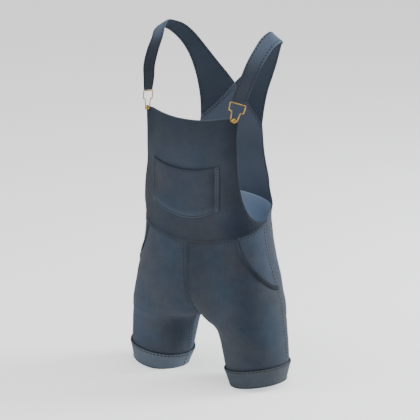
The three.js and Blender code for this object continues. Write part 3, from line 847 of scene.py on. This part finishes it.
def blend(tree, factor, a, b, how="MIX"):
    node = tree.nodes.new("ShaderNodeMix")
    node.data_type, node.blend_type = "RGBA", how
    ends = ((0, factor), (6, a), (7, b))
    for socket, value in ends:
        if isinstance(value, bpy.types.NodeSocket):
            tree.links.new(value, node.inputs[socket])
        else:
            node.inputs[socket].default_value = value
    return node.outputs[2]


def ramp(tree, source, low, high):
    node = tree.nodes.new("ShaderNodeMapRange")
    set_inputs(node, From_Min=low, From_Max=high)
    node.interpolation_type = "SMOOTHSTEP"
    tree.links.new(source, node.inputs["Value"])
    return node.outputs["Result"]


def noise(tree, coords, scale, detail, rough=0.55):
    node = tree.nodes.new("ShaderNodeTexNoise")
    set_inputs(node, Scale=scale, Detail=detail, Roughness=rough)
    tree.links.new(coords, node.inputs["Vector"])
    return node.outputs["Fac"]


def twill(tree, pitch, turn):
    """Slanting lines of a given pitch in metres on the cut's UV map."""
    cut = named(tree, "ShaderNodeUVMap", (-1200, -500), uv_map="cut")
    turned = named(tree, "ShaderNodeMapping", (-1000, -500))
    turned.inputs["Rotation"].default_value = (0, 0, math.radians(turn))
    wave = named(tree, "ShaderNodeTexWave", (-800, -500), bands_direction="X")
    set_inputs(wave, Scale=math.pi / 10 / pitch, Distortion=0.6, Detail=1.0, Detail_Scale=2.0)
    tree.links.new(cut.outputs["UV"], turned.inputs["Vector"])
    tree.links.new(turned.outputs["Vector"], wave.inputs["Vector"])
    return wave.outputs["Fac"]


def attribute(tree, label, place):
    return named(tree, "ShaderNodeAttribute", place, attribute_name=label).outputs["Fac"]


def times(tree, colour, grey):
    """A colour made darker or lighter by a factor on each of its parts."""
    return blend(tree, 1.0, colour, (*grey, 1), "MULTIPLY")


# %% Denim
def denim(name, blue, grey, reverse):
    material = bpy.data.materials.new(name)
    material.use_nodes = True
    tree = material.node_tree
    shader = tree.nodes["Principled BSDF"]
    spot = named(tree, "ShaderNodeTexCoord", (-1200, 200)).outputs["Object"]
    patches = ramp(tree, noise(tree, spot, 9.0, 2.0), 0.36, 0.64)
    cloudy = ramp(tree, noise(tree, spot, 30.0, 4.0, 0.65), 0.28, 0.72)
    speckle = ramp(tree, noise(tree, spot, 420.0, 2.0), 0.30, 0.70)
    lines = twill(tree, 0.0013, 62)
    colour = blend(tree, patches, blue, grey)
    colour = blend(tree, cloudy, times(tree, colour, (0.84, 0.85, 0.87)), colour)
    # Where the panels ask, the colour goes to a paler blue: partly wear, partly painted highlight.
    colour = blend(tree, attribute(tree, "wear_and_highlight", (-800, 700)), colour, PALE_WEAR_AND_HIGHLIGHT)
    colour = blend(tree, speckle, colour, times(tree, colour, (1.16, 1.15, 1.13)))
    colour = blend(tree, lines, times(tree, colour, (0.86, 0.86, 0.87)), colour)
    weave = twill(tree, 0.0042, 90)
    inside = blend(tree, weave, times(tree, reverse, (0.86, 0.86, 0.88)), reverse)
    colour = blend(tree, attribute(tree, "reverse", (-800, 500)), colour, inside)
    # Painted shade: where the panels ask, both the face and the reverse are darkened.
    shade = times(tree, colour, (0.42, 0.44, 0.46))
    colour = blend(tree, attribute(tree, "dark", (-800, 900)), colour, shade)
    tree.links.new(colour, shader.inputs["Base Color"])
    set_inputs(shader, Roughness=0.9, Sheen_Weight=0.04, Sheen_Roughness=0.5)
    shader.inputs["Specular IOR Level"].default_value = 0.15
    height = tree.nodes.new("ShaderNodeMath")
    height.operation = "ADD"
    tree.links.new(lines, height.inputs[0])
    tree.links.new(speckle, height.inputs[1])
    bump = named(tree, "ShaderNodeBump", (-200, -300))
    set_inputs(bump, Strength=0.35, Distance=0.0003)
    tree.links.new(height.outputs["Value"], bump.inputs["Height"])
    tree.links.new(bump.outputs["Normal"], shader.inputs["Normal"])
    return material


# %% Six finishes of the same denim
# A paler blue, for wear and for painted highlight.
PALE_WEAR_AND_HIGHLIGHT = srgb(96, 113, 133)
PANEL_BLUE, PANEL_GREY = srgb(51, 60, 73), srgb(57, 62, 70)
LEG_BLUE, LEG_GREY = srgb(55, 66, 79), srgb(62, 67, 75)
# The legs' pale reverse is partly the real pale weft and partly painted light inside them; the
# darker reverse of the bib, back and pocket panels is darkened as painted shade.
REVERSE_DARK, REVERSE_PALE = srgb(103, 113, 129), srgb(180, 202, 228)
panel_denim = denim("washed_denim", PANEL_BLUE, PANEL_GREY, REVERSE_DARK)
# The straps' reverse, as dark as their face, is painted shade.
strap_denim = denim("washed_denim_strap", PANEL_BLUE, PANEL_GREY, srgb(54, 63, 75))
leg_denim = denim("washed_denim_leg", LEG_BLUE, LEG_GREY, REVERSE_PALE)
facing_denim = denim("facing_denim", srgb(55, 65, 79), srgb(59, 66, 77), REVERSE_PALE)
# The hip band is painted far darker than the other denim, as painted shade of the pocket's opening.
band_denim_painted_shade = denim("band_denim_painted_shade", srgb(30, 37, 45), srgb(33, 38, 45), REVERSE_DARK)
cuff_denim = denim("cuff_denim", srgb(71, 79, 87), srgb(75, 81, 87), REVERSE_PALE)
print("nodes in one denim:", len(panel_denim.node_tree.nodes))

# %% [markdown]
# Stitches are what tells the eye that a panel is sewn. One stitch is a small round grain of
# thread, pulled into the cloth at both ends. It is modelled once and copied along every row, with
# a little wobble. A dashed texture would be lighter, but it wouldn't stand up from the cloth.

# %% One stitch of dark thread
rng = np.random.default_rng(7)
STITCH_PITCH = 9.0
STITCH_LENGTH = 4.4
STITCH_WIDTH = 3.1
STITCH_RISE = 0.9
STITCH_OUT = 0.25
WOBBLE = 0.05


def deselected():
    if bpy.context.object and bpy.context.object.mode != "OBJECT":
        bpy.ops.object.mode_set(mode="OBJECT")
    bpy.ops.object.select_all(action="DESELECT")


deselected()
bpy.ops.mesh.primitive_uv_sphere_add(segments=6, ring_count=4, radius=1)
grain = bpy.context.object
grain_points = np.array([vertex.co for vertex in grain.data.vertices])
grain_faces = [list(face.vertices) for face in grain.data.polygons]
bpy.data.objects.remove(grain)

thread = bpy.data.materials.new("dark_thread")
thread.use_nodes = True
thread_tree = thread.node_tree
thread_spot = named(thread_tree, "ShaderNodeTexCoord", (-600, 0)).outputs["Object"]
thread_twist = noise(thread_tree, thread_spot, 900.0, 1.0)
thread_colour = blend(thread_tree, thread_twist, srgb(6, 6, 8), srgb(13, 13, 16))
thread_shader = thread_tree.nodes["Principled BSDF"]
thread_tree.links.new(thread_colour, thread_shader.inputs["Base Color"])
set_inputs(thread_shader, Roughness=0.7)
print("one stitch:", len(grain_faces), "faces")


# %% Sewing along a row
def stitches(name, rows, pitch=STITCH_PITCH, length=STITCH_LENGTH, width=STITCH_WIDTH):
    """rows are pairs of points and normals along each sewn line."""
    points, faces = [], []
    for line, normals in rows:
        along = np.concatenate([[0], np.cumsum(np.linalg.norm(np.diff(line, axis=0), axis=1))])
        centres = np.arange(pitch / 2, along[-1] - length / 2, pitch)

        def at(values, where):
            return np.stack([np.interp(where, along, values[:, k]) for k in range(3)], axis=1)

        middle = at(line, centres)
        tangent = unit(at(line, centres + 1) - at(line, centres - 1))
        normal = unit(at(normals, centres))
        across = np.cross(normal, tangent)
        for m, t, n, a in zip(middle, tangent, normal, across):
            start = len(points) * len(grain_points)
            turn = rng.normal(0, WOBBLE)
            t, a = t + a * turn, a - t * turn
            local = grain_points * [width / 2, STITCH_RISE, length / 2]
            points.append(m + local[:, :1] * a + local[:, 1:2] * n + local[:, 2:] * t)
            faces += [[start + k for k in face] for face in grain_faces]
    mesh = bpy.data.meshes.new(name)
    mesh.from_pydata((np.concatenate(points) * MM).tolist(), [], faces)
    mesh.polygons.foreach_set("use_smooth", np.ones(len(mesh.polygons), bool))
    mesh.materials.append(thread)
    piece = bpy.data.objects.new(name, mesh)
    bpy.context.scene.collection.objects.link(piece)
    print(f"{name}: {len(points)} stitches")
    return piece


def sewn(spot, u, v, out=STITCH_OUT):
    """A line of points on a spot function, from shares or places given as lists of stops."""
    stops = np.linspace(0, 1, len(u))
    fine = np.linspace(0, 1, 160)
    return spot(np.interp(fine, stops, u), np.interp(fine, stops, v), out)


def sewn_both(spot, u, v, wall=WALL):
    """The same line seen on both faces of the cloth."""
    points, normals = sewn(spot, u, v, -wall - STITCH_OUT)
    return [sewn(spot, u, v), (points, -normals)]


def side_spot(side):
    return lambda place, z, out: body_spot(place, z, out, side)


# %% [markdown]
# The rows follow the garment: round the bib and its pocket, along the waist seam, down the
# centre front and the sides, round the cuffs, and along both edges of each strap. Each row is a
# line on the panel's own surface, so that it stays on the cloth wherever that folds.

# %% Rows on the bib, its pocket and the back
HEM_ROW = 4.0  # from a hem's edge to the stitches that hold it
WAIST_ROW = 4.5  # from the waist seam to the stitches on either side of it
POCKET_STITCH = (7.0, 3.8)  # pitch and length
BACK_STITCH = (8.0, 4.4, 2.1)  # pitch, length and width
CUFF_STITCH = (9.5, 6.0)


def waist_row(offset, start, end, side):
    place = np.linspace(start, end, 160)
    return body_spot(place, waist_height(place) + offset, STITCH_OUT, side)


def beside(place, z, distance):
    """A place at a distance round the body from another, as lists of stops."""
    place, z = np.array(place, float), np.array(z, float)
    return place + as_place(place, z, distance), z


in_u, in_top = HEM_ROW / BIB_SIZE[0], 1 - HEM_ROW / BIB_SIZE[1]
bib_rows = [
    *sewn_both(bib_spot, [in_u, in_u, in_u], [0.03, 0.5, in_top]),
    *sewn_both(bib_spot, [1 - in_u] * 3, [0.03, 0.5, in_top]),
    *sewn_both(bib_spot, [in_u, 0.5, 1 - in_u], [in_top] * 3),
    waist_row(WAIST_ROW, -0.97, 0.97, 1),
]
p_u, p_v = HEM_ROW / POCKET_SIZE[0], HEM_ROW / POCKET_SIZE[1]
pocket_rows = [
    sewn(pocket_spot, [p_u, p_u], [0.98, p_v]),
    sewn(pocket_spot, [1 - p_u, 1 - p_u], [0.98, p_v]),
    sewn(pocket_spot, [p_u, 1 - p_u], [p_v, p_v]),
]
back_in = HEM_ROW / BACK_SIZE[0]
back_rows = [
    *sewn_both(back_spot, [back_in] * 3, [0.02, 0.5, 0.96]),
    *sewn_both(back_spot, [1 - back_in] * 3, [0.02, 0.5, 0.96]),
    waist_row(WAIST_ROW, BACK_START + 0.01, 4 - BACK_START - 0.01, 1),
]
for inset in (5, 11):
    line_v = 1 - inset / BACK_SIZE[1] * 0.9
    back_rows += sewn_both(back_spot, [0.02, 0.5], [line_v, line_v])
    back_rows += sewn_both(back_spot, [0.5, 0.98], [line_v, line_v])

sewing = {
    "bib": stitches("stitches_bib", bib_rows),
    "pocket": stitches("stitches_bib_pocket", pocket_rows, *POCKET_STITCH),
    "back": stitches("stitches_back", back_rows, *BACK_STITCH),
}

# %% Rows on the legs, cuffs and straps
FLY_TOP, FLY_FOOT = -513, -668
for word, side in SIDES.items():
    spot = side_spot(side)
    mid_row = beside([0, 0, 0], [FLY_TOP, -590, FLY_FOOT], 7)
    side_row = beside([1] * 4, [-466, -560, -700, -811], -7)
    inseam = beside([0, 0, 0], [-714, -760, -811], 5)
    leg_rows = [
        waist_row(-WAIST_ROW, 0.02, 0.66, side),
        sewn(spot, *mid_row),
        sewn(spot, *inseam),
    ]
    sewing[f"front_leg_{word}"] = stitches(f"stitches_front_leg_{word}", leg_rows)
    side_rows = [sewn(spot, *side_row), waist_row(-WAIST_ROW, 0.70, 0.985, side)]
    sewing[f"facing_{word}"] = stitches(f"stitches_side_{word}", side_rows)
    mid_back = beside([2, 2, 2], [-428, -560, -690], -7)
    back_inseam = beside([2, 2, 2], [-714, -760, -811], -5)
    behind_rows = [
        waist_row(-WAIST_ROW, BACK_START, 1.98, side),
        sewn(spot, *mid_back),
        sewn(spot, *back_inseam),
    ]
    sewing[f"back_leg_{word}"] = stitches(f"stitches_back_leg_{word}", behind_rows)
    cuff_out = lambda u, v, out: cuff_spot(u, v, side, out)
    cuff_rows = [
        sewn(cuff_out, [0, 1], [0.91, 0.91]),
        sewn(cuff_out, [0, 1], [0.07, 0.07]),
        sewn(cuff_out, [0.012, 0.012], [0.12, 0.88]),
    ]
    sewing[f"cuff_{word}"] = stitches(f"stitches_cuff_{word}", cuff_rows, *CUFF_STITCH)
    strap_out = lambda u, v, out: strap_spot(u, v, side, out)
    strap_rows = [
        *sewn_both(strap_out, [0.13, 0.13, 0.06], [0.02, 0.6, 0.97]),
        *sewn_both(strap_out, [0.87, 0.87, 0.94], [0.02, 0.6, 0.97]),
    ]
    sewing[f"strap_{word}"] = stitches(f"stitches_strap_{word}", strap_rows)

# %% [markdown]
# The buckle is one piece of brass wire, bent into a T-shaped loop. Its outline is a ring of
# corner points that are bevelled round, turned into a curve, and given the wire's thickness. A
# ring skinned face by face could do it too, but a curve keeps the wire round in every bend.

# %% Wire buckles
BUCKLE_OUTLINE = [(19.3, 0), (18.4, 19.6), (11, 19.6), (8.4, 38), (7, 44.4)]
BEND_RADII = [2.6, 2.6, 2.6, 1.8, 4.0]
buckle_down = unit(BUCKLE_DOWN - BUCKLE_ALONG * (BUCKLE_DOWN @ BUCKLE_ALONG))
buckle_out = np.cross(buckle_down, BUCKLE_ALONG)


def plane_matrix(along, up, out, origin, side):
    """Turns a piece modelled flat at the origin into its place, in metres."""
    turn = Matrix([[*map(float, row), 0] for row in np.stack([along, up, out], axis=1)]).to_4x4()
    place = Matrix.Translation(Vector(origin * MM)) @ turn
    return Matrix.Scale(side, 4, (1, 0, 0)) @ place if side < 0 else place


def settled(piece, matrix, side):
    piece.data.transform(matrix)
    if side < 0:
        piece.data.flip_normals()
    piece.data.polygons.foreach_set("use_smooth", np.ones(len(piece.data.polygons), bool))
    piece.data.update()
    return piece


def wire_buckle(name, side):
    whole = BUCKLE_OUTLINE + [(-a, d) for a, d in reversed(BUCKLE_OUTLINE)]
    radii = BEND_RADII + BEND_RADII[::-1]
    deselected()
    bpy.ops.mesh.primitive_circle_add(vertices=len(whole), radius=0.02, fill_type="NOTHING")
    loop = bpy.context.object
    loop.name = name
    for vertex, (along, down) in zip(loop.data.vertices, whole):
        vertex.co = (along * MM, -down * MM, 0)
    for radius in sorted(set(radii)):
        bends = [v.co.copy() for v in loop.data.vertices]
        wanted = [Vector((a * MM, -d * MM, 0)) for (a, d), r in zip(whole, radii) if r == radius]
        bpy.ops.object.mode_set(mode="EDIT")
        bpy.ops.mesh.select_all(action="DESELECT")
        bpy.ops.object.mode_set(mode="OBJECT")
        for vertex, spot in zip(loop.data.vertices, bends):
            vertex.select = any((spot - corner).length < 1e-6 for corner in wanted)
        bpy.ops.object.mode_set(mode="EDIT")
        bpy.ops.mesh.bevel(affect="VERTICES", offset=radius * MM, segments=5)
        bpy.ops.object.mode_set(mode="OBJECT")
    bpy.ops.object.convert(target="CURVE")
    loop = bpy.context.object
    loop.data.bevel_depth = WIRE / 2 * MM
    loop.data.bevel_resolution = 3
    bpy.ops.object.convert(target="MESH")
    loop = bpy.context.object
    matrix = plane_matrix(BUCKLE_ALONG, -buckle_down, buckle_out, BUCKLE_BAR, side)
    return settled(loop, matrix, side)


buckles = {word: wire_buckle(f"brass_buckle_{word}", side) for word, side in SIDES.items()}
print("one buckle:", len(buckles["left"].data.polygons), "faces")

# %% [markdown]
# The stud is what the wire loop hooks over. A real one is stamped in two halves and riveted
# through the bib. Here it is turned from a disc: its ring is extruded upwards and scaled at each
# step, from the foot through the narrow neck to the rimmed head, as on a lathe.

# %% Studs on the bib
STEM_DOWN = 41
STUD_STEPS = [(2.9, 0.6), (1.8, 0.9), (1.8, 5.0), (5.4, 5.15), (5.8, 5.5), (5.8, 6.4), (5.4, 7.0),
              (4.6, 7.3), (4.1, 7.0), (3.6, 6.7), (1.6, 7.0), (0.4, 7.1)]


def stud_seat():
    stem = BUCKLE_BAR + buckle_down * STEM_DOWN
    place = 0.6
    for _ in range(30):
        place += (stem[0] - body_point(place, stem[2])[0]) * 0.004
    around, up = body_slopes(place, stem[2])
    normal = unit(np.cross(around, up))
    return body_point(place, stem[2]) + normal * 0.3, normal


def stud(name, side):
    deselected()
    radius, height = 2.9, 0.0
    bpy.ops.mesh.primitive_circle_add(vertices=28, radius=radius * MM, fill_type="NGON")
    piece = bpy.context.object
    piece.name = name
    bpy.ops.object.mode_set(mode="EDIT")
    bpy.ops.mesh.select_all(action="SELECT")
    for new_radius, new_height in STUD_STEPS:
        rise = (0, 0, (new_height - height) * MM)
        bpy.ops.mesh.extrude_region_move(TRANSFORM_OT_translate={"value": rise})
        grow = new_radius / radius
        bpy.ops.transform.resize(value=(grow, grow, 1))
        radius, height = new_radius, new_height
    bpy.ops.mesh.select_all(action="SELECT")
    bpy.ops.mesh.normals_make_consistent(inside=False)
    bpy.ops.object.mode_set(mode="OBJECT")
    seat, normal = stud_seat()
    along = unit(np.cross([0.0, 0.0, 1.0], normal))
    matrix = plane_matrix(along, np.cross(normal, along), normal, seat, side)
    return settled(piece, matrix, side)


studs = {word: stud(f"brass_stud_{word}", side) for word, side in SIDES.items()}
print("one stud:", len(studs["left"].data.polygons), "faces")

# %% [markdown]
# Old brass wire is warm and satin, and darker where it isn't rubbed. One soft noise varies both
# the colour and the roughness together, as tarnish does, and a much finer one pits the surface.

# %% Brass
brass = bpy.data.materials.new("aged_brass")
brass.use_nodes = True
brass_tree = brass.node_tree
brass_shader = brass_tree.nodes["Principled BSDF"]
brass_spot = named(brass_tree, "ShaderNodeTexCoord", (-900, 0)).outputs["Object"]
tarnish = ramp(brass_tree, noise(brass_tree, brass_spot, 160.0, 3.0), 0.35, 0.7)
brass_tree.links.new(blend(brass_tree, tarnish, srgb(192, 155, 84), srgb(142, 115, 64)),
                     brass_shader.inputs["Base Color"])
brass_rough = named(brass_tree, "ShaderNodeMapRange", (-300, -200))
set_inputs(brass_rough, To_Min=0.32, To_Max=0.48)
brass_tree.links.new(tarnish, brass_rough.inputs["Value"])
brass_tree.links.new(brass_rough.outputs["Result"], brass_shader.inputs["Roughness"])
set_inputs(brass_shader, Metallic=1.0)
brass_bump = named(brass_tree, "ShaderNodeBump", (-300, -400))
set_inputs(brass_bump, Strength=0.2, Distance=0.0001)
brass_tree.links.new(noise(brass_tree, brass_spot, 1400.0, 2.0), brass_bump.inputs["Height"])
brass_tree.links.new(brass_bump.outputs["Normal"], brass_shader.inputs["Normal"])
print("nodes in the brass:", len(brass_tree.nodes))

# %% [markdown]
# Every piece rides on the root body and takes its finish, and the plain panel that it stands for is
# hidden.

# %% Pieces and their places in the frame
def finish_piece(piece, material, slot, *nodes):
    piece.data.materials.clear()
    piece.data.materials.append(material)
    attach(piece, "root")
    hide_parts(*nodes)


LEAST_WIDTH = 0.0105  # no sheet is declared narrower than about a centimetre
MOST_OF_CUT = 0.999  # nor as filling the whole of its rectangle


def finish_cloth(piece, material, slot, node, sewing_on=()):
    finish_piece(piece, material, slot, node)
    for sewn_piece in sewing_on:
        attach(sewn_piece, "root")
    width, length, area = cloth_sizes[piece.name]
    width = max(width, LEAST_WIDTH)
    area = min(area, MOST_OF_CUT * width * length)


finish_cloth(bib, panel_denim, "denim", "bib",
             [sewing["bib"]])
finish_cloth(pocket, panel_denim, "denim", "bib_pocket", [sewing["pocket"]])
finish_cloth(back, panel_denim, "denim", "back_panel",
             [sewing["back"]])
for word in SIDES:
    front, behind, facing = legs[word]
    finish_cloth(front, leg_denim, "denim", f"front_leg_{word}",
                 [sewing[f"front_leg_{word}"]])
    finish_cloth(behind, leg_denim, "denim", f"back_leg_{word}",
                 [sewing[f"back_leg_{word}"]])
    finish_cloth(facing, facing_denim, "denim_facing", f"hip_facing_{word}",
                 [sewing[f"facing_{word}"]])
    finish_cloth(bands[word], band_denim_painted_shade, "denim_band", f"hip_band_{word}")
    finish_cloth(cuffs[word], cuff_denim, "denim_cuff", f"cuff_{word}",
                 [sewing[f"cuff_{word}"]])
    finish_cloth(straps[word], strap_denim, "denim", f"strap_{word}",
                 [sewing[f"strap_{word}"]])
    finish_piece(buckles[word], brass, "brass", f"buckle_{word}")
    finish_piece(studs[word], brass, "brass", f"bib_button_{word}")
print("sheets of cloth:", len(cloth_sizes), "pieces with stitches:", len(sewing))

# %% [markdown]
# The stage is a pale floor and soft light: a broad lamp from the left of the camera, a second
# from behind on the right that brightens the side seam, and one above. Between them the front of
# the leg stays darker, as it does on a studio figure. The camera stands at the picture's angle,
# and far away behind a long lens, because the picture shows hardly any perspective.

# %% Floor and sky
FLOOR = -865.5
FLOOR_SPAN = 400  # metres, so that it reaches the horizon
FLOOR_GLOW = 0.75
SKY_STRENGTH = 0.5

deselected()
bpy.ops.mesh.primitive_plane_add(size=FLOOR_SPAN, location=(0, 0, FLOOR * MM))
floor = bpy.context.object
floor.name = "floor"
paper = bpy.data.materials.new("pale_paper")
paper.use_nodes = True
set_inputs(paper.node_tree.nodes["Principled BSDF"], Base_Color=srgb(240, 240, 241), Roughness=0.95,
           Emission_Color=(1, 1, 1, 1), Emission_Strength=FLOOR_GLOW)
floor.data.materials.append(paper)

world = bpy.data.worlds.new("studio")
bpy.context.scene.world = world
world.use_nodes = True
world.node_tree.nodes["Background"].inputs["Color"].default_value = (1, 1, 1, 1)
world.node_tree.nodes["Background"].inputs["Strength"].default_value = SKY_STRENGTH


# %% Lights
TARGET = np.array([45.1, -65.0, -430.0])


def soft_light(name, azimuth, elevation, distance, size, power, colour=(1, 1, 1)):
    """A square lamp that looks at the garment, with its distance and size in metres. azimuth 0 is
    in front, and 90 is on the wearer's left."""
    a, e = math.radians(azimuth), math.radians(elevation)
    way = Vector((math.sin(a) * math.cos(e), -math.cos(a) * math.cos(e), math.sin(e)))
    lamp = bpy.data.lights.new(name, "AREA")
    lamp.shape, lamp.size, lamp.energy, lamp.color = "SQUARE", size, power, colour
    piece = bpy.data.objects.new(name, lamp)
    piece.location = Vector(TARGET * MM) + way * distance
    piece.rotation_euler = way.to_track_quat("Z", "Y").to_euler()
    bpy.context.scene.collection.objects.link(piece)


soft_light("key", -45, 26, 3.2, 1.6, 34)
soft_light("side", 138, 18, 3.2, 1.4, 150, (0.94, 0.97, 1))
soft_light("top", 80, 80, 3.0, 2.0, 55)
print("lights:", [lamp.name for lamp in bpy.data.lights])

# %% Camera
TO_CAMERA = np.array([0.5557, -0.7889, 0.2624])
CAMERA_DISTANCE = 5040
LENS, SENSOR = 180, 36
camera = bpy.data.objects.new("camera", bpy.data.cameras.new("camera"))
camera.data.lens, camera.data.sensor_width = LENS, SENSOR
camera.data.clip_end = 100
camera.location = Vector((TARGET + unit(TO_CAMERA) * CAMERA_DISTANCE) * MM)
camera.rotation_euler = Vector(TO_CAMERA).to_track_quat("Z", "Y").to_euler()
bpy.context.scene.collection.objects.link(camera)
bpy.context.scene.camera = camera
print("camera:", [round(c, 3) for c in camera.location])
